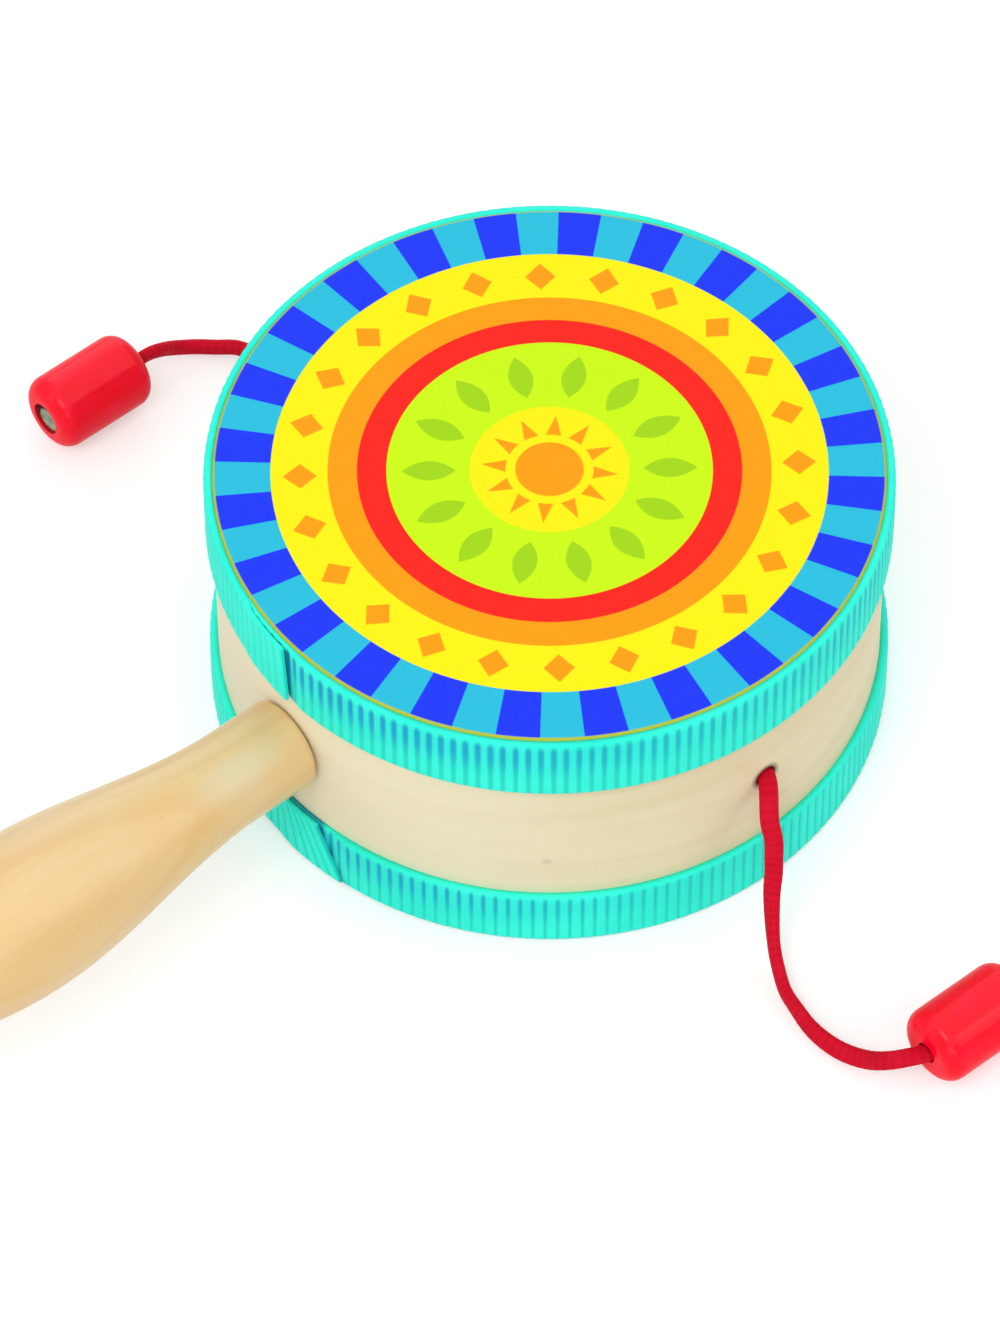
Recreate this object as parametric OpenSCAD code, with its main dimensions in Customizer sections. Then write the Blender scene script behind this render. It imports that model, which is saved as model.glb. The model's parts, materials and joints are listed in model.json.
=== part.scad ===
// Pellet drum rattle: a bent-wood drum on a turned handle, with a bead on a cord at each side.
// The drum stands on its lower head, and the origin is the centre of that head's outer face.
// Z runs up the drum's axis, the handle points to -X, and the right-hand cord is at -Y.

/* [Drum] */
// Height over both heads
drum_h = 40; // [34:1:60]
// Outside diameter of the shell
shell_d = 82.8; // [76:0.2:100]
// Thickness of the shell's wall
shell_wall = 5; // [3:0.5:8]
// Thickness of each head
head_t = 2; // [1.5:0.5:4]
// Rounding of the heads' outer edges
head_round = 0.4; // [0.2:0.1:0.6]

/* [Bands] */
// Width of the upper ribbon
upper_band_w = 9.5; // [6:0.1:12]
// Width of the lower ribbon
lower_band_w = 8.6; // [6:0.1:12]
// Thickness of both ribbons
band_t = 1.1; // [0.6:0.1:2]
// Distance from a head's face to the edge of its ribbon
band_inset = 0.2; // [0.1:0.1:1]
// Length of a ribbon's overlapped end
band_lap = 9; // [4:1:20]
// Height of the overlapped end above the ribbon
lap_rise = 0.5; // [0.3:0.1:1.5]
// Direction in which the upper overlap starts, from +X towards +Y, in degrees
upper_lap_turn = 169; // [0:1:359]
// Direction in which the lower overlap starts, from +X towards +Y, in degrees
lower_lap_turn = 178; // [0:1:359]

/* [Handle] */
// Length of the grip outside the shell
grip_len = 82; // [76:1:120]
// Diameter of the neck beside the shell
neck_d = 12; // [10:0.1:16]
// Length of the straight neck
neck_len = 8; // [4:1:16]
// Diameter of the grip where it is thickest
bulge_d = 20; // [17:0.5:26]
// Distance from the shell to the thickest place
bulge_at = 42; // [30:1:56]
// Diameter of the grip where its rounded end starts
butt_d = 12; // [10:0.5:16]
// Length of the rounded end
butt_round_len = 8; // [4:1:14]
// Rounding of the shoulder's edge
shoulder_round = 1; // [0.5:0.1:1.5]
// Diameter of the tenon in the shell
tenon_d = 8; // [6.5:0.5:9]

/* [Handle screw] */
// Diameter of the screw
screw_d = 3.5; // [3:0.5:4.5]
// Length of the screw under its head
screw_len = 28; // [20:1:40]
// Diameter of the screw's head
screw_head_d = 7; // [6:0.5:9]
// Height of the screw's head
screw_head_h = 2.4; // [1.5:0.1:4]
// Outside diameter of the washer
washer_d = 12; // [9.5:0.5:16]
// Thickness of the washer
washer_t = 1; // [0.5:0.1:2]

/* [Cords] */
// Diameter of the cord
cord_d = 2; // [1.4:0.1:2.2]
// Diameter of the hole in the shell
cord_hole_d = 3; // [2.5:0.1:4]
// Diameter of the stopper knot
knot_d = 6; // [4.5:0.1:8]

/* [Beads] */
// Diameter of a bead
bead_d = 10; // [9.4:0.2:10]
// Length of a bead
bead_l = 14.4; // [12:0.2:18]
// Rounding of a bead's edges
bead_round = 2.2; // [1:0.1:2.4]
// Diameter of the cord's bore in a bead
bead_bore_d = 2.8; // [2.5:0.1:3.2]
// Diameter of the socket for the peg
peg_socket_d = 4.4; // [3.6:0.1:4.5]
// Length of the peg that holds the cord's end
peg_len = 4; // [2:0.5:6]
// Depth of the peg's face below the bead's end
peg_sink = 0.5; // [0.2:0.1:1.5]

/* [Fits] */
// Thickness of a glue line
glue_line = 0.1; // [0.05:0.05:0.2]
// Play of a pin in its hole, on the radius
play = 0.1; // [0.05:0.05:0.2]

/* [Hidden] */

// Cuts run this far past the faces that they open, and joined solids this far into each other
overrun = 1;
$fn = 96;

shell_r = shell_d / 2;
bore_r = shell_r - shell_wall;
mid_z = drum_h / 2;
shell_z = head_t + glue_line;
shell_h = drum_h - 2 * shell_z;
band_in_r = shell_r + glue_line;
band_edge_round = band_t / 4;

// The washer bridges the hollow of the wall and stands proud of it by the glue line
washer_out = sqrt(bore_r * bore_r - washer_d * washer_d / 4) - glue_line;
washer_in = washer_out - washer_t;
shoulder_out = shell_r + glue_line;
tenon_end = bore_r + glue_line;

// Distance from a bead's mouth to its peg
peg_at = bead_l - peg_sink - peg_len;

// Routes of the cords' centrelines, from the hole in the shell to the bead's mouth
right_route = [
    [0, -41.4, 20], [-0.7, -42.7, 19.9], [-2.1, -44.5, 19.1], [-3, -45.8, 17.5],
    [-3.2, -46.8, 15.2], [-3.6, -47.4, 12.8], [-4.1, -48, 10.4], [-4.9, -48.7, 8.1],
    [-5.8, -49.8, 6.1], [-6.9, -51.3, 4.3], [-8.1, -53.2, 2.8], [-9.2, -55.3, 2],
    [-10.2, -57.7, 1.3], [-10.8, -60.3, 1.3], [-11.2, -63, 1.1], [-11.2, -65.8, 1.1],
    [-10.7, -68.4, 1.1], [-9.9, -70.7, 1.4], [-9.4, -72.6, 2.4], [-9, -74.3, 3.8],
    [-8, -75.7, 4.7], [-6.4, -76.8, 5.1], [-4.7, -77.4, 5]
];
left_route = [
    [0, 41.4, 20], [0.1, 43.1, 19.9], [0.4, 44.8, 19.2], [0.8, 46.2, 17.6],
    [1.2, 47, 15.3], [1.5, 47.6, 12.8], [1.8, 48.3, 10.4], [2.1, 49.2, 8.1],
    [2.4, 50.4, 6], [2.4, 51.9, 4.1], [2.7, 53.7, 2.6], [3, 55.8, 1.6],
    [3.1, 58.1, 1.2], [3, 60.4, 1.1], [2.4, 62.7, 1.1], [1.3, 64.8, 1.2],
    [-0.4, 66.3, 1.2], [-2.2, 68, 1.1], [-4.2, 69, 1.6], [-6.1, 69.2, 2.7],
    [-7.8, 68.8, 4.1], [-9.9, 68.7, 5], [-12.3, 68.7, 5]
];
// Number of steps of a route that its lead takes, before the run starts
lead_steps = 7;
cord_sides = 8;

// Rounded corner of a revolved outline, as points about a centre
corner_steps = 8;
function corner(centre, r, from) = [
    for (i = [0:corner_steps])
        centre + r * [cos(from + 90 * i / corner_steps), sin(from + 90 * i / corner_steps)]
];

// Smooth step from one radius to another, with t from 0 to 1
function ease(a, b, t) = a + (b - a) * (1 - cos(180 * t)) / 2;

butt_at = grip_len - butt_round_len;
swell_steps = 12;
taper_steps = 12;
butt_steps = 10;

// Vector of length one
function unit(v) = v / norm(v);

// Direction of a route at one of its points; the ends take the directions that they are given
function heading(route, i, first, last) =
    i == 0 ? first :
    i == len(route) - 1 ? last :
    unit(unit(route[i + 1] - route[i]) + unit(route[i] - route[i - 1]));
// Sideways direction of a ring, carried along the route so that the tube has no twist
function ring_side(route, i, first, last) =
    i == 0 ? unit(cross(first, [0, 0, 1])) :
    let (along = heading(route, i, first, last), side = ring_side(route, i - 1, first, last))
    unit(side - (side * along) * along);
// One ring of the tube, square to the route
function tube_ring(route, i, first, last) =
    let (side = ring_side(route, i, first, last), up = cross(side, heading(route, i, first, last)))
    [for (k = [0:cord_sides - 1])
        let (turn = 360 * (k + 0.5) / cord_sides)
        route[i] + cord_d / 2 * (side * cos(turn) + up * sin(turn))];

// Revolved along +X or -X from a place
module lathe(place, way) {
    translate(place)
        rotate([0, 90 * way, 0])
            rotate_extrude()
                children();
}

// Stretch of a cord between two points of its route
module cord_stretch(route, from, to, first, last) {
    rings = [for (i = [from:to]) tube_ring(route, i, first, last)];
    points = [for (ring = rings) each ring];
    count = len(rings);
    sides = [
        for (i = [0:count - 2], k = [0:cord_sides - 1])
            let (a = i * cord_sides + k, b = i * cord_sides + (k + 1) % cord_sides)
            each [[a, a + cord_sides, b + cord_sides], [a, b + cord_sides, b]]
    ];
    end = (count - 1) * cord_sides;
    caps = [
        for (k = [1:cord_sides - 2])
            each [[0, k, k + 1], [end, end + k + 1, end + k]]
    ];
    polyhedron(points, concat(sides, caps));
}

// Disc of one head, with its outer face at z = 0 and its body above
module head() {
    rotate_extrude()
        polygon(concat(
            [[0, head_t], [0, 0]],
            corner([shell_r - head_round, head_round], head_round, -90),
            [[shell_r, head_t]]
        ));
}

// Ribbon round the shell, with its lower edge at z = 0 and its end lapped over itself
module band(width, lap_turn) {
    out_r = band_in_r + band_t;
    rotate_extrude()
        band_section(width, band_in_r, out_r);
    rotate([0, 0, lap_turn])
        rotate_extrude(angle = band_lap / out_r * 180 / PI)
            band_section(width, out_r - band_t / 2, out_r + lap_rise);
}

// Section of a ribbon between two radii, with its outer corners rounded
module band_section(width, in_r, out_r) {
    polygon(concat(
        [[in_r, width], [in_r, 0]],
        corner([out_r - band_edge_round, band_edge_round], band_edge_round, -90),
        corner([out_r - band_edge_round, width - band_edge_round], band_edge_round, 0)
    ));
}

// Cord through the wall, with the stopper knot inside, on the side that way gives
module cord_knot(way) {
    knot_r = knot_d / 2;
    knot_out = sqrt(bore_r * bore_r - knot_r * knot_r) - glue_line;
    translate([0, 0, mid_z])
        rotate([90 * -way, 0, 0])
            translate([0, 0, knot_out - knot_r]) {
                sphere(knot_r);
                cylinder(h = shell_r - knot_out + knot_r, d = cord_d);
            }
}

// Striker bead on its side, from its mouth along +X or -X
module bead(mouth, way) {
    bead_r = bead_d / 2;
    socket_r = peg_socket_d / 2;
    step_r = bead_bore_d / 2;
    step_at = peg_at - glue_line;
    lathe(mouth, way)
        polygon(concat(
            [[socket_r, bead_l], [socket_r, step_at], [step_r, step_at], [step_r, 0]],
            corner([bead_r - bead_round, bead_round], bead_round, -90),
            corner([bead_r - bead_round, bead_l - bead_round], bead_round, 0)
        ));
}

// Peg in the socket at a bead's outer end
module bead_peg(mouth, way) {
    translate(mouth)
        rotate([0, 90 * way, 0])
            translate([0, 0, peg_at])
                cylinder(h = peg_len, d = peg_socket_d - 2 * play);
}

// End of the cord inside a bead's bore, from the mouth to the peg
module cord_tail(mouth, way) {
    translate(mouth)
        rotate([0, 90 * way, 0])
            cylinder(h = peg_at, d = cord_d);
}

module shell() {
    color([0.92, 0.87, 0.74])
        difference() {
            translate([0, 0, shell_z])
                cylinder(h = shell_h, r = shell_r);
            translate([0, 0, shell_z - overrun])
                cylinder(h = shell_h + 2 * overrun, r = bore_r);
            translate([0, 0, mid_z])
                rotate([0, -90, 0])
                    cylinder(h = shell_r + overrun, d = tenon_d + 2 * play);
            translate([0, shell_r + overrun, mid_z])
                rotate([90, 0, 0])
                    cylinder(h = shell_d + 2 * overrun, d = cord_hole_d);
        }
}

module upper_head() {
    color([0.96, 0.88, 0.12])
        translate([0, 0, drum_h])
            mirror([0, 0, 1])
                head();
}

module lower_head() {
    color([0.96, 0.88, 0.12])
        head();
}

module upper_band() {
    color([0.2, 0.85, 0.82])
        translate([0, 0, drum_h - band_inset - upper_band_w])
            band(upper_band_w, upper_lap_turn);
}

module lower_band() {
    color([0.2, 0.85, 0.82])
        translate([0, 0, band_inset])
            band(lower_band_w, lower_lap_turn);
}

module handle() {
    neck_r = neck_d / 2;
    bulge_r = bulge_d / 2;
    butt_r = butt_d / 2;
    color([0.93, 0.8, 0.58])
        difference() {
            union() {
                lathe([-shoulder_out, 0, mid_z], -1)
                    polygon(concat(
                        [[0, 0]],
                        corner([neck_r - shoulder_round, shoulder_round], shoulder_round, -90),
                        [for (i = [0:swell_steps])
                            let (t = i / swell_steps)
                            [ease(neck_r, bulge_r, t), neck_len + (bulge_at - neck_len) * t]],
                        [for (i = [1:taper_steps])
                            let (t = i / taper_steps)
                            [ease(bulge_r, butt_r, t), bulge_at + (butt_at - bulge_at) * t]],
                        [for (i = [1:butt_steps])
                            let (turn = 90 * i / butt_steps)
                            [butt_r * cos(turn), butt_at + butt_round_len * sin(turn)]]
                    ));
                translate([-tenon_end, 0, mid_z])
                    rotate([0, -90, 0])
                        cylinder(h = shoulder_out - tenon_end + overrun, d = tenon_d);
            }
            translate([-tenon_end + overrun, 0, mid_z])
                rotate([0, -90, 0])
                    cylinder(h = washer_in + screw_len - tenon_end + 2 * overrun, d = screw_d + 2 * play);
        }
}

module handle_screw() {
    color([0.78, 0.78, 0.8])
        translate([-washer_in, 0, mid_z])
            rotate([0, 90, 0]) {
                translate([0, 0, -screw_len])
                    cylinder(h = screw_len + screw_head_h / 2, d = screw_d);
                cylinder(h = screw_head_h, d1 = screw_head_d, d2 = screw_head_d / 2);
            }
}

module screw_washer() {
    color([0.7, 0.7, 0.72])
        translate([-washer_out, 0, mid_z])
            rotate([0, 90, 0])
                difference() {
                    cylinder(h = washer_t, d = washer_d);
                    translate([0, 0, -overrun])
                        cylinder(h = washer_t + 2 * overrun, d = screw_d + 2 * play);
                }
}

module right_cord_knot() {
    color([0.72, 0.05, 0.12])
        cord_knot(-1);
}

module right_cord_lead() {
    color([0.79, 0.05, 0.13])
        cord_stretch(right_route, 0, lead_steps, [0, -1, 0], [1, 0, 0]);
}

module right_cord_run() {
    color([0.79, 0.05, 0.13])
        cord_stretch(right_route, lead_steps, len(right_route) - 1, [0, -1, 0], [1, 0, 0]);
}

module right_cord_tail() {
    color([0.72, 0.05, 0.12])
        cord_tail(right_route[len(right_route) - 1], 1);
}

module right_bead() {
    color([0.95, 0.1, 0.15])
        bead(right_route[len(right_route) - 1], 1);
}

module right_bead_peg() {
    color([0.45, 0.45, 0.4])
        bead_peg(right_route[len(right_route) - 1], 1);
}

module left_cord_knot() {
    color([0.72, 0.05, 0.12])
        cord_knot(1);
}

module left_cord_lead() {
    color([0.79, 0.05, 0.13])
        cord_stretch(left_route, 0, lead_steps, [0, 1, 0], [-1, 0, 0]);
}

module left_cord_run() {
    color([0.79, 0.05, 0.13])
        cord_stretch(left_route, lead_steps, len(left_route) - 1, [0, 1, 0], [-1, 0, 0]);
}

module left_cord_tail() {
    color([0.72, 0.05, 0.12])
        cord_tail(left_route[len(left_route) - 1], -1);
}

module left_bead() {
    color([0.95, 0.1, 0.15])
        bead(left_route[len(left_route) - 1], -1);
}

module left_bead_peg() {
    color([0.45, 0.45, 0.4])
        bead_peg(left_route[len(left_route) - 1], -1);
}

shell();
upper_head();
lower_head();
upper_band();
lower_band();
handle();
handle_screw();
screw_washer();
right_cord_knot();
right_cord_lead();
right_cord_run();
right_cord_tail();
right_bead();
right_bead_peg();
left_cord_knot();
left_cord_lead();
left_cord_run();
left_cord_tail();
left_bead();
left_bead_peg();
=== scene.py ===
import json
import math

import bpy
import numpy as np
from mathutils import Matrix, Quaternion, Vector


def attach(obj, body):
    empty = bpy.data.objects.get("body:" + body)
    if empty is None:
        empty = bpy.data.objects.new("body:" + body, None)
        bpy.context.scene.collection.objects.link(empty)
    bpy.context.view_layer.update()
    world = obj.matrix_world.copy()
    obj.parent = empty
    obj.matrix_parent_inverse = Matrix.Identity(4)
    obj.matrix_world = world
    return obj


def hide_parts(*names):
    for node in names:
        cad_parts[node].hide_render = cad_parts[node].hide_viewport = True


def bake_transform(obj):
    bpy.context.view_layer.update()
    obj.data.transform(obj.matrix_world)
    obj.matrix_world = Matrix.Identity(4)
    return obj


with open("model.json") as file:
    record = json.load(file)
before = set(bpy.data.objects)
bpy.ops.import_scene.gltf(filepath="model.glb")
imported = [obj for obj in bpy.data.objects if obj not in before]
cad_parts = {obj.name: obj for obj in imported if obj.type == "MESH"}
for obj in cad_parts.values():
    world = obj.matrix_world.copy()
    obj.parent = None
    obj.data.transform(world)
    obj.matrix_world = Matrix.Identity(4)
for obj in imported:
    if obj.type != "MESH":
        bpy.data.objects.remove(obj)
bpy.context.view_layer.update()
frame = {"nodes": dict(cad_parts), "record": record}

# Lengths are in millimetres, and MM turns them into metres
MM = 0.001

# Sizes and routes that follow the part's source
SHELL_R = 41.4
MID_Z = 20.0
BAND_T = 1.1
BAND_IN_R = 41.4
BAND_WIDTHS = {"upper_band": 9.5, "lower_band": 8.6}
BAND_LOW_EDGES = {"upper_band": 30.3, "lower_band": 0.2}
BAND_STARTS = {"upper_band": 169.0, "lower_band": 178.0}
BAND_LIFTS = {"upper_band": 0.15, "lower_band": 0.0}
BAND_SLANTS = {"upper_band": 0.8, "lower_band": 4.0}
BAND_LAP = 9.0
RIBS = 180
CORD_R = 1.0
CORD_FLAT = 0.2
BEAD_L = 14.4
PEG_LEN = 4.0
PEG_SINK = 0.5
TAIL_LEN = BEAD_L - PEG_SINK - PEG_LEN
BEAD_BORE_R = 1.4
PEG_SOCKET_R = 2.2
KNOT_OUT = 36.2
LEAD_STEPS = 7
RIGHT_ROUTE = [
    (0, -41.4, 20), (-0.7, -42.7, 19.9), (-2.1, -44.5, 19.1), (-3, -45.8, 17.5),
    (-3.2, -46.8, 15.2), (-3.6, -47.4, 12.8), (-4.1, -48, 10.4), (-4.9, -48.7, 8.1),
    (-5.8, -49.8, 6.1), (-6.9, -51.3, 4.3), (-8.1, -53.2, 2.8), (-9.2, -55.3, 2),
    (-10.2, -57.7, 1.3), (-10.8, -60.3, 1.3), (-11.2, -63, 1.1), (-11.2, -65.8, 1.1),
    (-10.7, -68.4, 1.1), (-9.9, -70.7, 1.4), (-9.4, -72.6, 2.4), (-9, -74.3, 3.8),
    (-8, -75.7, 4.7), (-6.4, -76.8, 5.1), (-4.7, -77.4, 5),
]
LEFT_ROUTE = [
    (0, 41.4, 20), (0.1, 43.1, 19.9), (0.4, 44.8, 19.2), (0.8, 46.2, 17.6),
    (1.2, 47, 15.3), (1.5, 47.6, 12.8), (1.8, 48.3, 10.4), (2.1, 49.2, 8.1),
    (2.4, 50.4, 6), (2.4, 51.9, 4.1), (2.7, 53.7, 2.6), (3, 55.8, 1.6),
    (3.1, 58.1, 1.2), (3, 60.4, 1.1), (2.4, 62.7, 1.1), (1.3, 64.8, 1.2),
    (-0.4, 66.3, 1.2), (-2.2, 68, 1.1), (-4.2, 69, 1.6), (-6.1, 69.2, 2.7),
    (-7.8, 68.8, 4.1), (-9.9, 68.7, 5), (-12.3, 68.7, 5),
]

# Camera at the photograph's viewing angle
CAMERA_AT = (-0.4509, -0.5412, 0.929)
CAMERA_LOOKS = (0.38267, 0.46757, -0.79683)
CAMERA_ROLL = math.radians(-0.23)
LENS_MM = 250.06
SENSOR_MM = 36
CLIP_FROM, CLIP_TO = 0.05, 20

camera_data = bpy.data.cameras.new("photo_camera")
camera_data.lens = LENS_MM
camera_data.sensor_width = SENSOR_MM
camera_data.clip_start = CLIP_FROM
camera_data.clip_end = CLIP_TO
camera = bpy.data.objects.new("photo_camera", camera_data)
bpy.context.scene.collection.objects.link(camera)
camera.rotation_mode = "QUATERNION"
camera.location = CAMERA_AT
aimed = Vector(CAMERA_LOOKS).to_track_quat("-Z", "Y")
camera.rotation_quaternion = aimed @ Quaternion((0, 0, 1), CAMERA_ROLL)
bpy.context.scene.camera = camera


class Wire:
    """A node's socket. Arithmetic on it adds Math nodes to its tree."""

    def __init__(self, tree, socket=None):
        self.tree, self.socket = tree, socket

    def add(self, kind, settings=None, sockets=None, out=0):
        """Adds a node, sets it up and fills its sockets.

        Returns one of its outputs, or all of them where out is None.
        """
        node = self.tree.nodes.new(kind)
        for name, value in (settings or {}).items():
            setattr(node, name, value)
        for name, value in (sockets or {}).items():
            if isinstance(value, Wire):
                self.tree.links.new(value.socket, node.inputs[name])
            else:
                node.inputs[name].default_value = value
        if out is None:
            return [Wire(self.tree, socket) for socket in node.outputs]
        return Wire(self.tree, node.outputs[out])

    def calculated(self, operation, values, clamp=False):
        settings = {"operation": operation, "use_clamp": clamp}
        return self.add("ShaderNodeMath", settings, dict(enumerate(values)))

    def math(self, operation, *others, clamp=False):
        """A Math node that has this socket as its first value."""
        return self.calculated(operation, (self, *others), clamp)

    def __add__(self, other):
        return self.math("ADD", other)

    __radd__ = __add__

    def __sub__(self, other):
        return self.math("SUBTRACT", other)

    def __rsub__(self, other):
        return self.calculated("SUBTRACT", (other, self))

    def __mul__(self, other):
        return self.math("MULTIPLY", other)

    __rmul__ = __mul__

    def __truediv__(self, other):
        return self.math("DIVIDE", other)

    def __pow__(self, other):
        return self.math("POWER", other)

    def __abs__(self):
        return self.math("ABSOLUTE")

    def fract(self):
        return self.math("FRACT")

    def root(self):
        return self.math("SQRT")

    def past(self, edge, soft):
        """0 before an edge and 1 past it, with a soft width."""
        return ((self - edge) / soft).math("ADD", 0.5, clamp=True)

    def between(self, low, high, soft):
        return self.past(low, soft) * (1 - self.past(high, soft))

    def eased(self, low, high):
        """Smooth step from 0 at low to 1 at high."""
        settings = {"interpolation_type": "SMOOTHSTEP"}
        return self.add("ShaderNodeMapRange", settings, {0: self, 1: low, 2: high})

    def axes(self):
        return self.add("ShaderNodeSeparateXYZ", sockets={0: self}, out=None)

    def mixed(self, share, colour_a, colour_b):
        """The first colour, with a share of the second mixed in."""
        return self.add("ShaderNodeMix", {"data_type": "RGBA"}, {0: share, 6: colour_a, 7: colour_b}, out=2)


def distance(*offsets):
    """Length of a vector, from its parts."""
    total = offsets[0] * offsets[0]
    for offset in offsets[1:]:
        total = total + offset * offset
    return total.root()


def rgb(red, green, groove_shade):
    """A display colour, 0 to 255, as the linear colour that a shader takes."""
    def linear(c):
        c = c / 255
        return c / 12.92 if c <= 0.04045 else ((c + 0.055) / 1.055) ** 2.4
    return (linear(red), linear(green), linear(groove_shade), 1.0)


def finish_of(name, **constants):
    """A new material: the material, a wire for its nodes, and its shader."""
    made = bpy.data.materials.new(name)
    made.use_nodes = True
    shader = made.node_tree.nodes["Principled BSDF"]
    for socket, value in constants.items():
        shader.inputs[socket.replace("_", " ")].default_value = value
    return made, Wire(made.node_tree), shader


def feed(shader, **wires):
    for socket, wire in wires.items():
        wire.tree.links.new(wire.socket, shader.inputs[socket.replace("_", " ")])


def object_place(wire):
    return wire.add("ShaderNodeTexCoord", out="Object")


def stored(wire, name):
    """A value that a piece's mesh holds at its points."""
    return wire.add("ShaderNodeAttribute", {"attribute_name": name}, out="Fac")


def stretched_noise(wire, place, scale, detail=3.0, distortion=0.0):
    """Noise on a place that is scaled by axis, so that it can run along a grain."""
    scaled = wire.add("ShaderNodeVectorMath", {"operation": "MULTIPLY"}, {0: place, 1: scale})
    sockets = {"Vector": scaled, "Scale": 1.0, "Detail": detail, "Distortion": distortion}
    return wire.add("ShaderNodeTexNoise", sockets=sockets)


def bump(wire, height, strength, depth):
    """A bumped normal, with its depth in millimetres."""
    sockets = {"Strength": strength, "Distance": depth * MM, "Height": height}
    return wire.add("ShaderNodeBump", sockets=sockets)


# Finishes

def cord_finish():
    made, wire, shader = finish_of("cord_braid", Specular_IOR_Level=0.1)
    strand = stored(wire, "strand")
    place = object_place(wire)
    fibre = stretched_noise(wire, place, (7000, 7000, 7000), detail=2)
    wear = stretched_noise(wire, place, (420, 420, 420), detail=2)
    lit = wire.mixed(strand.eased(0.0, 0.6), rgb(194, 6, 32), rgb(212, 8, 44))
    lit = wire.mixed(wear.eased(0.45, 0.75) * 0.4, lit, rgb(222, 24, 52))
    feed(
        shader,
        Base_Color=wire.mixed(fibre * 0.25, lit, rgb(184, 4, 26)),
        Roughness=0.75 - 0.15 * strand,
        Normal=bump(wire, fibre, 0.25, 0.04),
    )
    return made


THREAD_PITCH = 0.22
# Ribs after the ribbon's start over which the painted groove shade dies down, and shares of all ribs over
# which it fades
BESIDE_RIBS = (8, 50)
FAINT_SHARES = (0.83, 0.93)


def ribbon_finish():
    made, wire, shader = finish_of("ribbon_rib", Specular_IOR_Level=0.15)
    crown, across, tucked, rib = [stored(wire, name) for name in ("crown", "across", "tucked", "rib")]
    place = object_place(wire)
    _, _, z = place.axes()
    thread = (z * (2 * math.pi / (THREAD_PITCH * MM))).math("SINE") * 0.5 + 0.5
    cloud = stretched_noise(wire, place, (90, 90, 160), detail=2)
    # Painted shade: the grooves are painted darker blue in their upper half, most of all in the upper
    # ribbon and beside the overlap
    upper = z.past(MID_Z * MM, MM)
    beside = 1 - rib.eased(*BESIDE_RIBS)
    depth = 0.04 + 0.41 * upper + (0.8 - 0.3 * upper) * beside
    # They fade out towards the upper ribbon's lapped end
    faint = rib.eased(RIBS * FAINT_SHARES[0], RIBS * FAINT_SHARES[1]) * upper
    groove_shade = across.eased(0.2, 0.75) * (1 - across.past(0.93, 0.06)) * depth * (1 - faint)
    deep = wire.mixed(groove_shade, rgb(36, 222, 202), rgb(8, 158, 206))
    lit = wire.mixed(cloud.eased(0.3, 0.7), rgb(42, 243, 219), rgb(54, 251, 226))
    lit = wire.mixed(groove_shade * 0.5, lit, rgb(44, 222, 222))
    woven = wire.mixed(thread * 0.1, lit, rgb(30, 214, 202))
    # Grooves are wider in the upper ribbon and where they carry painted shade, and end at the upper edge
    shown = crown.math("MAXIMUM", across.eased(0.96, 1.0) * 0.8)
    narrow = 0.03 + 0.12 * upper + 0.15 * groove_shade
    ribbed = wire.mixed(shown.eased(narrow, narrow + 0.5 + 0.05 * upper), deep, woven)
    ribbed = wire.mixed(faint * 0.6, ribbed, woven)
    shaded = tucked * (1 - across.eased(0.9, 0.98) * upper)
    feed(
        shader,
        Base_Color=wire.mixed(shaded * 0.75, ribbed, rgb(10, 104, 150)),
        Roughness=0.6 - 0.12 * crown,
        Normal=bump(wire, thread, 0.2, 0.03),
    )
    return made


PIN_KNOT_AT = (-26.6, -31.7, 15.2)
PIN_KNOT_R = (0.2, 0.9)
HOLE_RING_R = (1.4, 2.4)
# Distances towards the handle over which the hoop is painted paler, as painted light
PAINTED_LIGHT_FROM, PAINTED_LIGHT_TO = 18, 42


def shell_finish():
    made, wire, shader = finish_of("shell_maple", Specular_IOR_Level=0.25, Coat_Roughness=0.3)
    place = object_place(wire)
    x, y, z = [axis / MM for axis in place.axes()]
    grain = stretched_noise(wire, place, (16, 16, 300), detail=4, distortion=0.4)
    fine = stretched_noise(wire, place, (120, 120, 1900), detail=3)
    pale = wire.mixed(grain.eased(0.3, 0.7), rgb(225, 211, 170), rgb(232, 220, 182))
    pale = wire.mixed(fine.eased(0.5, 0.8) * 0.22, pale, rgb(214, 196, 152))
    # Painted light: the hoop is painted paler towards the handle
    pale = wire.mixed((0 - x).eased(PAINTED_LIGHT_FROM, PAINTED_LIGHT_TO) * 0.7, pale, rgb(236, 228, 200))
    # A pin knot in the side towards the handle
    from_knot = distance(x - PIN_KNOT_AT[0], y - PIN_KNOT_AT[1], z - PIN_KNOT_AT[2])
    pale = wire.mixed((1 - from_knot.eased(*PIN_KNOT_R)) * 0.3, pale, rgb(168, 138, 92))
    # The shell is painted darker in a ring round each cord's hole
    hole_ring = (1 - distance(x, z - MID_Z).eased(*HOLE_RING_R)) * abs(y).past(30, 2)
    feed(
        shader,
        Base_Color=wire.mixed(hole_ring * 0.85, pale, rgb(70, 34, 18)),
        Roughness=0.45 + 0.12 * fine,
        Coat_Weight=0.1 + 0.06 * grain,
        Normal=bump(wire, fine + grain * 0.5, 0.08, 0.1),
    )
    return made


# Pith of the wood, beside the handle, and the width of its year rings
PITH_Y, PITH_Z = 31.0, -12.0
YEAR_RING = 2.4
WANDER = 6.0
# Middle and half size of a painted sheen on the handle, along it and across it
SHEEN_AT = (-52.0, -3.2)
SHEEN_HALF = (9.0, 3.4)


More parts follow.
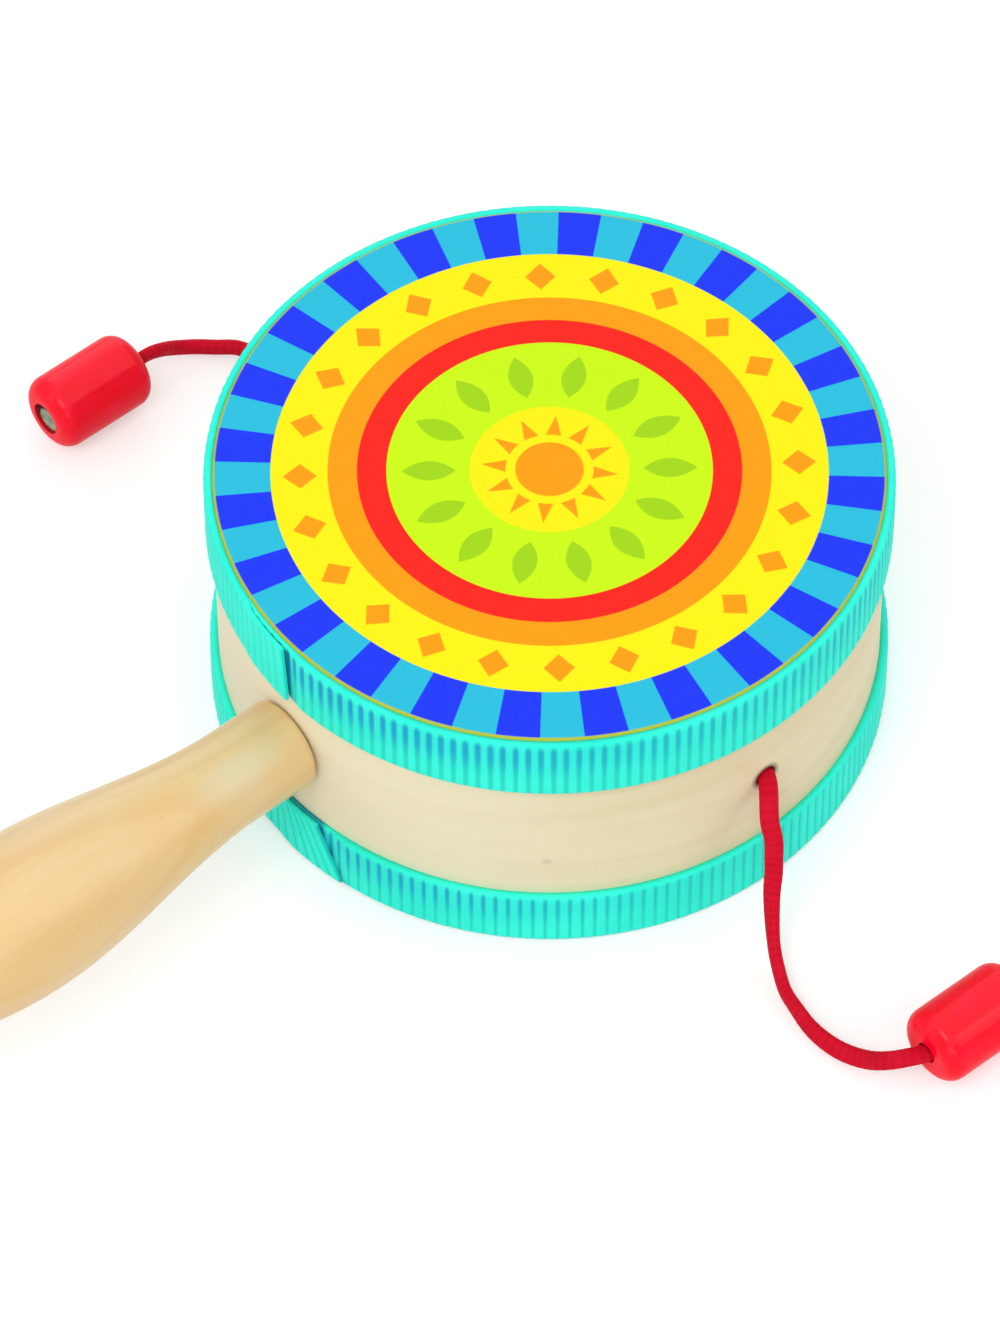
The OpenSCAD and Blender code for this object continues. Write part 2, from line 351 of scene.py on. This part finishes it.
def handle_finish():
    made, wire, shader = finish_of(
        "handle_beech", Specular_IOR_Level=0.3, Coat_Roughness=0.25, Coat_Weight=0.45,
    )
    place = object_place(wire)
    x, y, z = [axis / MM for axis in place.axes()]
    # Year rings about a pith beside the handle, so that the grain bows over the swell and shows on the end
    wander = stretched_noise(wire, place, (14, 60, 60), detail=3) * WANDER
    ring = ((distance(y - PITH_Y, z - PITH_Z) + wander) / YEAR_RING).fract()
    late = ring.eased(0.35, 0.95) * (1 - ring.past(0.97, 0.05))
    pore = stretched_noise(wire, place, (260, 3200, 3200), detail=2).eased(0.64, 0.76)
    streak = stretched_noise(wire, place, (10, 190, 190), detail=4)
    body = wire.mixed(streak.eased(0.3, 0.7), rgb(225, 188, 128), rgb(231, 200, 146))
    patch = stretched_noise(wire, place, (34, 90, 90), detail=2)
    body = wire.mixed(patch.eased(0.45, 0.75) * 0.5, body, rgb(228, 176, 100))
    # Painted sheen: a paler patch on the upper side, beside the neck, where a reflection falls
    along = (x - SHEEN_AT[0]) / SHEEN_HALF[0]
    beside = (y - SHEEN_AT[1]) / SHEEN_HALF[1]
    painted_sheen = 1 - distance(along, beside).eased(0.1, 1.0)
    body = wire.mixed(painted_sheen * z.past(MID_Z, 1) * 0.75, body, rgb(222, 208, 172))
    body = wire.mixed(late * 0.2, body, rgb(214, 164, 94))
    body = wire.mixed(pore * 0.18, body, rgb(182, 128, 70))
    feed(
        shader,
        Base_Color=body,
        Roughness=0.38 + 0.12 * streak,
        Normal=bump(wire, late * 0.4 - pore, 0.06, 0.08),
    )
    return made


def beside_bead(y):
    """Distance sideways from the nearer bead's axis."""
    right, left = [abs(y - route[-1][1]) for route in (RIGHT_ROUTE, LEFT_ROUTE)]
    return right.math("MINIMUM", left)


def bead_finish():
    made, wire, shader = finish_of(
        "bead_lacquer", Coat_Weight=0.22, Coat_Roughness=0.08, Specular_IOR_Level=0.05,
    )
    place = object_place(wire)
    x, y, z = [axis / MM for axis in place.axes()]
    from_axis = distance(beside_bead(y), z - RIGHT_ROUTE[-1][2])
    pooled = stretched_noise(wire, place, (260, 420, 420), detail=2)
    peel = stretched_noise(wire, place, (1400, 1400, 1400), detail=1)
    lacquer = wire.mixed(pooled.eased(0.3, 0.7), rgb(252, 2, 30), rgb(255, 8, 48))
    # The bore is narrow at the mouths, which face each other, and wide at the outer ends
    between = (RIGHT_ROUTE[-1][0] + LEFT_ROUTE[-1][0]) / 2
    apart = (RIGHT_ROUTE[-1][0] - LEFT_ROUTE[-1][0]) / 2
    outer = abs(x - between).past(apart + TAIL_LEN, 0.1)
    bored = 1 - (from_axis - (PEG_SOCKET_R - BEAD_BORE_R) * outer).past(BEAD_BORE_R + 0.06, 0.06)
    feed(
        shader,
        Base_Color=wire.mixed(bored, lacquer, rgb(190, 12, 24)),
        Roughness=0.4 + 0.1 * pooled,
        Normal=bump(wire, peel, 0.05, 0.06),
    )
    return made


# The lit part of a peg's face is a disc that lies low in it
LIT_FACE_R = 1.9
LIT_FACE_DROP = 0.7


def peg_finish():
    made, wire, shader = finish_of("peg_end", Specular_IOR_Level=0.2)
    place = object_place(wire)
    _, y, z = [axis / MM for axis in place.axes()]
    from_lit_face = distance(beside_bead(y), z - (RIGHT_ROUTE[-1][2] - LIT_FACE_DROP))
    grain = stretched_noise(wire, place, (300, 900, 900), detail=4)
    # Painted shadow: the crescent along the top of the peg's face is painted dark, as a shadowed gap over a
    # dowel that lies low in its socket
    split = (from_lit_face + grain * 0.4).past(LIT_FACE_R, 0.3)
    wood = wire.mixed(grain.eased(0.3, 0.7), rgb(122, 138, 116), rgb(172, 182, 160))
    feed(
        shader,
        Base_Color=wire.mixed(split, wood, rgb(34, 28, 24)),
        Roughness=0.7 + 0.2 * grain,
        Normal=bump(wire, grain - split, 0.4, 0.2),
    )
    return made


def zinc_finish():
    made, wire, shader = finish_of("zinc_plate", Metallic=1.0)
    place = object_place(wire)
    spangle = stretched_noise(wire, place, (900, 900, 900), detail=3)
    feed(
        shader,
        Base_Color=wire.mixed(spangle, rgb(176, 180, 186), rgb(206, 208, 212)),
        Roughness=0.24 + 0.2 * spangle,
        Normal=bump(wire, spangle, 0.08, 0.05),
    )
    return made


# Rings of the printed heads, measured from the middle
SUN_R = 4.2
RAYS = 12
RAY_IN, RAY_OUT = 5.4, 8.4
SUN_RING = 9.8
LEAVES = 14
LEAF_MID, LEAF_HALF, LEAF_WIDE = 14.8, 3.3, 1.5
GREEN_RING = 20.0
RED_RING = 23.6
ORANGE_RING = 27.2
DIAMONDS = 24
DIAMOND_MID, DIAMOND_HIGH, DIAMOND_WIDE = 30.6, 2.1, 1.9
YELLOW_RING = 34.2
WEDGES = 24
PRINT_EDGE = 41.05
PRINT_HALF_HEIGHT = 19.55
PRINT_SHARP = 0.08

YELLOW = rgb(250, 240, 10)
ORANGE = rgb(252, 158, 8)
RED = rgb(248, 24, 24)
LIME = rgb(202, 246, 14)
LEAF_GREEN = rgb(160, 214, 18)
BLUE = rgb(14, 50, 244)
CYAN = rgb(34, 190, 222)
BOARD = rgb(178, 188, 58)


def head_finish():
    made, wire, shader = finish_of("head_print", Specular_IOR_Level=0.12)
    place = object_place(wire)
    x, y, z = [axis / MM for axis in place.axes()]
    r = distance(x, y)
    turn = y.math("ARCTAN2", x) / (2 * math.pi) + 0.5

    def beside(count):
        """Distance round the ring from the middle of the nearest of so many places."""
        return abs((turn * count).fract() - 0.5) * r * (2 * math.pi / count)

    wedge = (abs((turn * WEDGES).fract() - 0.5) - 0.25) * r * (2 * math.pi / WEDGES)
    colour = wire.mixed(wedge.past(0, PRINT_SHARP), CYAN, BLUE)
    colour = wire.mixed(1 - r.past(YELLOW_RING, PRINT_SHARP), colour, YELLOW)
    diamond = beside(DIAMONDS) / DIAMOND_WIDE + abs(r - DIAMOND_MID) / DIAMOND_HIGH
    colour = wire.mixed(1 - diamond.past(1, PRINT_SHARP), colour, ORANGE)
    colour = wire.mixed(1 - r.past(ORANGE_RING, PRINT_SHARP), colour, ORANGE)
    colour = wire.mixed(1 - r.past(RED_RING, PRINT_SHARP), colour, RED)
    colour = wire.mixed(1 - r.past(GREEN_RING, PRINT_SHARP), colour, LIME)
    along_leaf = (r - LEAF_MID) / LEAF_HALF
    leaf = beside(LEAVES) / LEAF_WIDE + along_leaf * along_leaf
    colour = wire.mixed(1 - leaf.past(1, PRINT_SHARP), colour, LEAF_GREEN)
    colour = wire.mixed(1 - r.past(SUN_RING, PRINT_SHARP), colour, YELLOW)
    ray = beside(RAYS) / (RAY_OUT - r)
    rays = (1 - ray.past(0.32, PRINT_SHARP)) * r.between(RAY_IN, RAY_OUT, PRINT_SHARP)
    colour = wire.mixed(rays, colour, ORANGE)
    colour = wire.mixed(1 - r.past(SUN_R, PRINT_SHARP), colour, ORANGE)

    ink = stretched_noise(wire, place, (900, 900, 900), detail=3)
    tooth = stretched_noise(wire, place, (5200, 5200, 5200), detail=2)
    colour = wire.mixed(ink * 0.03, colour, BOARD)
    # Bare board shows at the rim and down the edge
    edge = r.past(PRINT_EDGE, 0.12).math("MAXIMUM", 1 - abs(z - MID_Z).past(PRINT_HALF_HEIGHT, 0.1))
    feed(
        shader,
        Base_Color=wire.mixed(edge, colour, BOARD),
        Roughness=0.42 + 0.12 * ink,
        Normal=bump(wire, tooth, 0.06, 0.04),
    )
    return made


FINISHES = {
    "shell_wood": shell_finish(),
    "head_print": head_finish(),
    "ribbon": ribbon_finish(),
    "handle_wood": handle_finish(),
    "steel": zinc_finish(),
    "cord": cord_finish(),
    "bead_lacquer": bead_finish(),
    "peg_wood": peg_finish(),
}
for subpart in frame["record"]["subparts"]:
    node = frame["nodes"][subpart["node"]]
    node.data.materials.clear()
    node.data.materials.append(FINISHES[subpart["material_slot"]])


def piece_from(name, mesh, slot):
    """A new piece at the origin, in a slot's finish."""
    made = bpy.data.objects.new(name, mesh)
    bpy.context.scene.collection.objects.link(made)
    if not mesh.materials:
        mesh.materials.append(FINISHES[slot])
    return made


# Cords

RING_SIDES = 48
RING_STEP = 0.12
BRAID_COUNT = 12
BRAID_PITCH = 1.05
BRAID_DEPTH = 0.05
# Turn of each cord's flat side along it, as lengths and degrees
RIGHT_TURN = ([0, 14, 28, 36, 48, 70], [0, 0, 90, 90, 40, 0])
LEFT_TURN = ([0, 14, 30, 70], [0, 0, 80, 80])
KNOT_TURN = ([0, 1], [0, 0])
# Overhand knot: half its loops' size, its depth, and how far its middle lies inside the wall
KNOT_SIZE = 0.68
KNOT_DEPTH = 1.0
KNOT_BACK = 2.1


def smooth_line(points, step):
    """Points at an even step on a natural cubic spline, and the index of each given point among them."""
    points = np.array(points, float)
    knots = np.concatenate([[0], np.cumsum(np.linalg.norm(np.diff(points, axis=0), axis=1))])
    gaps = np.diff(knots)
    count = len(points)
    left, right = np.eye(count), np.zeros_like(points)
    for i in range(1, count - 1):
        left[i, i - 1:i + 2] = gaps[i - 1], 2 * (gaps[i - 1] + gaps[i]), gaps[i]
        right[i] = 6 * ((points[i + 1] - points[i]) / gaps[i] - (points[i] - points[i - 1]) / gaps[i - 1])
    bend = np.linalg.solve(left, right)
    stretches = []
    for i, gap in enumerate(gaps):
        t = np.linspace(0, gap, max(2, round(gap / step)), endpoint=False)[:, None]
        a, b = (gap - t) / gap, t / gap
        stretches.append(
            a * points[i] + b * points[i + 1]
            + ((a ** 3 - a) * bend[i] + (b ** 3 - b) * bend[i + 1]) * gap * gap / 6
        )
    line = np.vstack([*stretches, points[-1:]])
    marks = np.concatenate([[0], np.cumsum([len(s) for s in stretches])])
    return line, marks


def braided_rings(line, flat_turn):
    """Rings of a braided cord along a line, in metres, and how far each point stands out, from 0 to 1."""
    ahead = np.gradient(line, axis=0)
    ahead /= np.linalg.norm(ahead, axis=1)[:, None]
    lengths = np.concatenate([[0], np.cumsum(np.linalg.norm(np.diff(line, axis=0), axis=1))])
    side = np.cross(ahead[0], (0, 0, 1) if abs(ahead[0][2]) < 0.9 else (1, 0, 0))
    turn = 2 * math.pi * np.arange(RING_SIDES) / RING_SIDES
    rings, stands = [], []
    for place, way, s in zip(line, ahead, lengths):
        side = side - (side @ way) * way
        side /= np.linalg.norm(side)
        up = np.cross(way, side)
        stand = 0.5 + 0.25 * (np.cos(BRAID_COUNT * turn) + math.cos(2 * math.pi * s / BRAID_PITCH))
        flat = np.cos(2 * (turn - math.radians(np.interp(s, *flat_turn))))
        r = CORD_R * (1 + CORD_FLAT * flat) - BRAID_DEPTH * (1 - np.sqrt(stand))
        rings.append(place + r[:, None] * (np.cos(turn)[:, None] * side + np.sin(turn)[:, None] * up))
        stands.append(stand)
    rings = np.array(rings)
    # The soft cord lies flat where it touches the floor
    rings[..., 2] = np.maximum(rings[..., 2], 0)
    return rings * MM, np.array(stands)


def tube_piece(name, rings, stands):
    """A closed tube through rings of points."""
    count = len(rings)
    sides = RING_SIDES
    faces = []
    for i in range(count - 1):
        for k in range(sides):
            a, b = i * sides + k, i * sides + (k + 1) % sides
            faces.append((a, b, b + sides, a + sides))
    faces.append(tuple(reversed(range(sides))))
    faces.append(tuple((count - 1) * sides + k for k in range(sides)))
    mesh = bpy.data.meshes.new(name)
    mesh.from_pydata(rings.reshape(-1, 3).tolist(), [], faces)
    strand = mesh.attributes.new("strand", "FLOAT", "POINT")
    strand.data.foreach_set("value", stands.astype(np.float32).ravel())
    mesh.shade_smooth()
    for cap in mesh.polygons[-2:]:
        cap.use_smooth = False
    return piece_from(name, mesh, "cord")


def overhand_knot(way):
    """Line of an overhand knot against the inside of the wall, with a short end."""
    t = np.linspace(0.32, 2 * math.pi - 0.25, 40)
    flat_x = KNOT_SIZE * (np.sin(t) + 2 * np.sin(2 * t))
    flat_z = KNOT_SIZE * (np.cos(t) - 2 * np.cos(2 * t))
    deep = -KNOT_DEPTH * np.sin(3 * t)
    loop = np.stack([flat_x, way * (KNOT_OUT - KNOT_BACK + deep), MID_Z + flat_z], axis=1)
    start = [(0, way * (KNOT_OUT + 0.6), MID_Z), (0, way * (KNOT_OUT - 0.3), MID_Z - 0.2)]
    return np.vstack([start, loop[2:]])


def cord_pieces(side, way, route, bead_way, flat_turn):
    """The cord of one side: its knot, its lead out of the hole and its run into the bead."""
    wall = [(0, way * KNOT_OUT, MID_Z), (0, way * (KNOT_OUT + SHELL_R) / 2, MID_Z)]
    tail = np.array([bead_way * TAIL_LEN, 0, 0])
    inside = [np.array(route[-1]) + share * tail for share in (0.25, 0.6, 1)]
    line, marks = smooth_line([*wall, *route, *inside], RING_STEP)
    rings, stands = braided_rings(line, flat_turn)
    split = marks[len(wall) + LEAD_STEPS]

    run = tube_piece(f"{side}_run", rings[split:], stands[split:])
    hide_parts(f"{side}_cord_run", f"{side}_cord_tail")
    lead = tube_piece(f"{side}_lead", rings[:split + 1], stands[:split + 1])
    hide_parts(f"{side}_cord_lead")
    knot_line, _ = smooth_line(overhand_knot(way), RING_STEP)
    knot = tube_piece(f"{side}_knot", *braided_rings(knot_line, KNOT_TURN))
    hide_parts(f"{side}_cord_knot")

    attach(knot, "drum")
    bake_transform(lead)
    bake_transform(run)


cord_pieces("right", -1, RIGHT_ROUTE, 1, RIGHT_TURN)
cord_pieces("left", 1, LEFT_ROUTE, -1, LEFT_TURN)


# Ribbons

STEPS_PER_RIB = 12
RIBBON_SIDES = 24
RIB_DEPTH = 0.22
LEAST_CROWN = 0.8
CLIMB = 3.0
# Share of the climb that lies before the ribbon's start
CLIMB_LEAD = 0.2
# Thickness of the ribbon where it is lapped, as a share of the whole
LAP_SHARE = 0.58
# Shade on the ribbon beside its lapped end, from the end outwards
SHADE_FROM, SHADE_TO = 0.2, 1.6


def ribbon_tree():
    """A ribbed ribbon wound once round the shell, its end lapped over its start. Sizes are in metres."""
    tree = bpy.data.node_groups.new("ribbed_ribbon", "GeometryNodeTree")
    sizes = [
        "Radius", "Width", "Thickness", "Low Edge", "Start",
        "Lap", "Climb", "Lift", "Slant", "Rib Depth",
    ]
    for name in sizes:
        tree.interface.new_socket(name=name, in_out="INPUT", socket_type="NodeSocketFloat")
    for name in ["Ribs", "Seed"]:
        tree.interface.new_socket(name=name, in_out="INPUT", socket_type="NodeSocketInt")
    tree.interface.new_socket(name="Finish", in_out="INPUT", socket_type="NodeSocketMaterial")
    tree.interface.new_socket(name="Ribbon", in_out="OUTPUT", socket_type="NodeSocketGeometry")
    wire = Wire(tree)
    given = tree.nodes.new("NodeGroupInput")
    size = {socket.name: Wire(tree, socket) for socket in given.outputs if socket.name}

    def placed(geometry, x, y, z):
        place = wire.add("ShaderNodeCombineXYZ", sockets={0: x, 1: y, 2: z})
        return wire.add("GeometryNodeSetPosition", sockets={"Geometry": geometry, "Position": place})

    def kept(geometry, name, value):
        return wire.add(
            "GeometryNodeStoreNamedAttribute", {"data_type": "FLOAT", "domain": "POINT"},
            {"Geometry": geometry, "Name": name, "Value": value},
        )

    def recalled(name):
        return wire.add("GeometryNodeInputNamedAttribute", {"data_type": "FLOAT"}, {"Name": name})

    # Line of the ribbon's middle, which climbs on to its own tapered start, with both layers thin there
    steps = size["Ribs"] * STEPS_PER_RIB
    index = wire.add("GeometryNodeInputIndex")
    around = size["Radius"] * (2 * math.pi)
    along = index / steps * (around + size["Lap"])
    before, after = size["Climb"] * -CLIMB_LEAD, size["Climb"] * (1 - CLIMB_LEAD)
    climb = along.eased(around + before, around + after)
    taper = along.eased(before, after)
    lift = along.eased(around + size["Lap"] * 0.2, around + size["Lap"])
    under = 1 - along.eased(size["Lap"], size["Lap"] + size["Climb"])
    thin = (1 - (1 - LAP_SHARE) * (climb + under)) * taper
    drop = size["Thickness"] * 0.5 * (1 - thin)
    radius = size["Radius"] - drop + size["Thickness"] * LAP_SHARE * climb + size["Lift"] * lift
    angle = size["Start"] + along / size["Radius"]
    middle = size["Low Edge"] + size["Width"] * 0.5
    line = wire.add("GeometryNodeMeshLine", sockets={"Count": steps + 1})
    line = wire.add("GeometryNodeMeshToCurve", sockets={"Mesh": line})
    line = kept(line, "rib", index / STEPS_PER_RIB)
    line = kept(line, "middle_radius", radius)
    line = kept(line, "thin", thin)
    line = kept(line, "taper", taper)
    line = kept(line, "along", along)
    line = placed(line, radius * angle.math("COSINE"), radius * angle.math("SINE"), middle)
    line = wire.add("GeometryNodeSetCurveNormal", {"mode": "Z_UP"}, {"Curve": line})

    # Section with soft outer corners and a flat back
    circle = {"Resolution": RIBBON_SIDES, "Radius": 1.0}
    section = wire.add("GeometryNodeCurvePrimitiveCircle", sockets=circle)
    u, v, _ = wire.add("GeometryNodeInputPosition").axes()
    soft_u, soft_v = [axis.math("SIGN") * abs(axis) ** 0.28 for axis in (u, v)]
    back = u.math("LESS_THAN", -0.01)
    flat_u = soft_u * (1 - back) - back
    section = placed(section, flat_u * size["Thickness"] * 0.5, soft_v * size["Width"] * 0.5, 0.0)
    swept = {"Curve": line, "Profile Curve": section, "Fill Caps": True}
    ribbon = wire.add("GeometryNodeCurveToMesh", sockets=swept)

    # Ribs across its outer side, each a little different, that die out at the woven edges
    rib = recalled("rib")
    wave = rib * (2 * math.pi)
    drawn = {2: LEAST_CROWN, 3: 1.0, "ID": rib.math("FLOOR"), "Seed": size["Seed"]}
    vary = wire.add("FunctionNodeRandomValue", {"data_type": "FLOAT"}, drawn, out=1)
    crown = ((0.5 - 0.5 * wave.math("COSINE")) ** 0.6) * vary
    x, y, z = wire.add("GeometryNodeInputPosition").axes()
    r = distance(x, y)
    beyond = r - recalled("middle_radius")
    outward = (beyond / (size["Thickness"] * 0.5)).eased(-0.3, 0.8)
    across = (z - middle) / (size["Width"] * 0.5)
    dip = size["Rib Depth"] * (1 - crown) * (1 - 0.8 * abs(across) ** 6) * recalled("taper")
    scaled = 1 - (beyond * (1 - recalled("thin")) + dip * outward) / r
    ribbon = kept(ribbon, "crown", crown)
    ribbon = kept(ribbon, "across", across * 0.5 + 0.5)

    # The end is cut at a slant, and the layer under it is marked for its shade
    along = recalled("along")
    slant = size["Slant"] * across * 0.5
    tucked = 1 - (along + slant - size["Lap"]).eased(SHADE_FROM * MM, SHADE_TO * MM)
    ribbon = kept(ribbon, "tucked", tucked)
    turn = slant / size["Radius"] * along.eased(around - size["Climb"], around + size["Lap"])
    cosine, sine = turn.math("COSINE"), turn.math("SINE")
    ribbon = placed(
        ribbon, (x * cosine + y * sine) * scaled, (y * cosine - x * sine) * scaled,
        z - across * abs(across) ** 8 * dip * 0.3,
    )
    ribbon = wire.add("GeometryNodeSetShadeSmooth", sockets={"Geometry": ribbon})
    ribbon = wire.add("GeometryNodeRealizeInstances", sockets={"Geometry": ribbon})
    ribbon = wire.add("GeometryNodeSetMaterial", sockets={"Geometry": ribbon, "Material": size["Finish"]})
    wire.add("NodeGroupOutput", sockets={"Ribbon": ribbon}, out=None)
    return tree


def grown(name, tree, values):
    """The plain mesh that a Geometry Nodes tree grows from the given values."""
    holder = bpy.data.objects.new(name + "_holder", bpy.data.meshes.new(name + "_holder"))
    bpy.context.scene.collection.objects.link(holder)
    modifier = holder.modifiers.new("grow", "NODES")
    modifier.node_group = tree
    for item in tree.interface.items_tree:
        if item.in_out == "INPUT":
            modifier[item.identifier] = values[item.name]
    graph = bpy.context.evaluated_depsgraph_get()
    result = holder.evaluated_get(graph)
    mesh = bpy.data.meshes.new_from_object(result, preserve_all_data_layers=True, depsgraph=graph)
    bpy.data.objects.remove(holder)
    mesh.name = name
    return mesh


ribbon_nodes = ribbon_tree()
for seed, band in enumerate(BAND_STARTS):
    mesh = grown(band.replace("band", "ribbon"), ribbon_nodes, {
        "Radius": (BAND_IN_R + BAND_T / 2) * MM, "Width": BAND_WIDTHS[band] * MM, "Thickness": BAND_T * MM,
        "Low Edge": BAND_LOW_EDGES[band] * MM, "Start": math.radians(BAND_STARTS[band]),
        "Lap": BAND_LAP * MM, "Climb": CLIMB * MM, "Lift": BAND_LIFTS[band] * MM,
        "Slant": BAND_SLANTS[band] * MM, "Rib Depth": RIB_DEPTH * MM,
        "Ribs": RIBS, "Seed": seed, "Finish": FINISHES["ribbon"],
    })
    ribbon = piece_from(mesh.name, mesh, "ribbon")
    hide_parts(band)
    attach(ribbon, "drum")


# Floor and light

FLOOR_HALF = 3.0
# The floor lies just under the drum, so that the two don't share a plane
FLOOR_LEVEL = -0.2 * MM
FLOOR_GREY = (0.7, 0.7, 0.7, 1)
FLOOR_GLOW = 0.42
SURROUND_LIGHT = 0.62
SURROUND_SEEN = 0.4
PANEL_LIGHT = 1.6
PANEL_RISE = 0.62
LAMP_AIM = (0, 0, MID_Z * MM)
# Each lamp's place and width in metres, and its watts
LAMPS = {
    "key": ((-0.75, -0.35, 1.15), 0.7, 5.5),
    "fill": ((0.7, -0.9, 0.7), 0.8, 3.0),
    "front": ((-0.85, -1.1, 0.4), 0.8, 3.2),
    "back": ((0.6, 1.0, 0.45), 0.8, 2.6),
    "left": ((-1.1, 0.5, 0.4), 0.8, 1.8),
}


def seen_rays(wire):
    """Rays that show the background, directly, in reflections or through glass, and glossy rays alone."""
    kinds = ("Camera", "Glossy", "Transmission")
    direct, glossy, through = [wire.add("ShaderNodeLightPath", out=f"Is {kind} Ray") for kind in kinds]
    return direct.math("MAXIMUM", glossy.math("MAXIMUM", through)), glossy


def white_floor():
    mesh = bpy.data.meshes.new("floor")
    ways = [(-1, -1), (1, -1), (1, 1), (-1, 1)]
    corners = [(x * FLOOR_HALF, y * FLOOR_HALF, FLOOR_LEVEL) for x, y in ways]
    mesh.from_pydata(corners, [], [(0, 1, 2, 3)])
    floor = bpy.data.objects.new("floor", mesh)
    bpy.context.scene.collection.objects.link(floor)
    made, wire, shader = finish_of(
        "floor_white", Base_Color=FLOOR_GREY, Roughness=0.9, Specular_IOR_Level=0.0,
    )
    seen, _ = seen_rays(wire)
    glow = wire.add("ShaderNodeEmission", sockets={"Color": (1, 1, 1, 1), "Strength": seen * FLOOR_GLOW})
    lit = wire.add("ShaderNodeAddShader", sockets={0: Wire(wire.tree, shader.outputs[0]), 1: glow})
    # The floor is clear from below, so that the lower head can be seen
    below = wire.add("ShaderNodeNewGeometry", out="Backfacing")
    clear = wire.add("ShaderNodeBsdfTransparent")
    sided = wire.add("ShaderNodeMixShader", sockets={0: below, 1: lit, 2: clear})
    wire.tree.links.new(sided.socket, wire.tree.nodes["Material Output"].inputs["Surface"])
    mesh.materials.append(made)


def soft_lamp(name, place, size, watts):
    data = bpy.data.lights.new(name, "AREA")
    data.shape = "DISK"
    data.size = size
    data.energy = watts
    lamp = bpy.data.objects.new(name, data)
    bpy.context.scene.collection.objects.link(lamp)
    lamp.location = place
    lamp.rotation_mode = "QUATERNION"
    lamp.rotation_quaternion = (Vector(LAMP_AIM) - Vector(place)).to_track_quat("-Z", "Y")


def white_surround():
    world = bpy.data.worlds.new("surround")
    bpy.context.scene.world = world
    world.use_nodes = True
    wire = Wire(world.node_tree)
    seen, glossy = seen_rays(wire)
    # Reflections also see a soft panel overhead
    _, _, rise = wire.add("ShaderNodeTexCoord", out="Generated").axes()
    panel = glossy * rise.past(PANEL_RISE, 0.08)
    strength = SURROUND_LIGHT + SURROUND_SEEN * seen + PANEL_LIGHT * panel
    back = world.node_tree.nodes["Background"]
    back.inputs["Color"].default_value = (1, 1, 1, 1)
    wire.tree.links.new(strength.socket, back.inputs["Strength"])


white_floor()
white_surround()
for name, (place, size, watts) in LAMPS.items():
    soft_lamp(name, place, size, watts)
bpy.context.scene.view_settings.view_transform = "Standard"
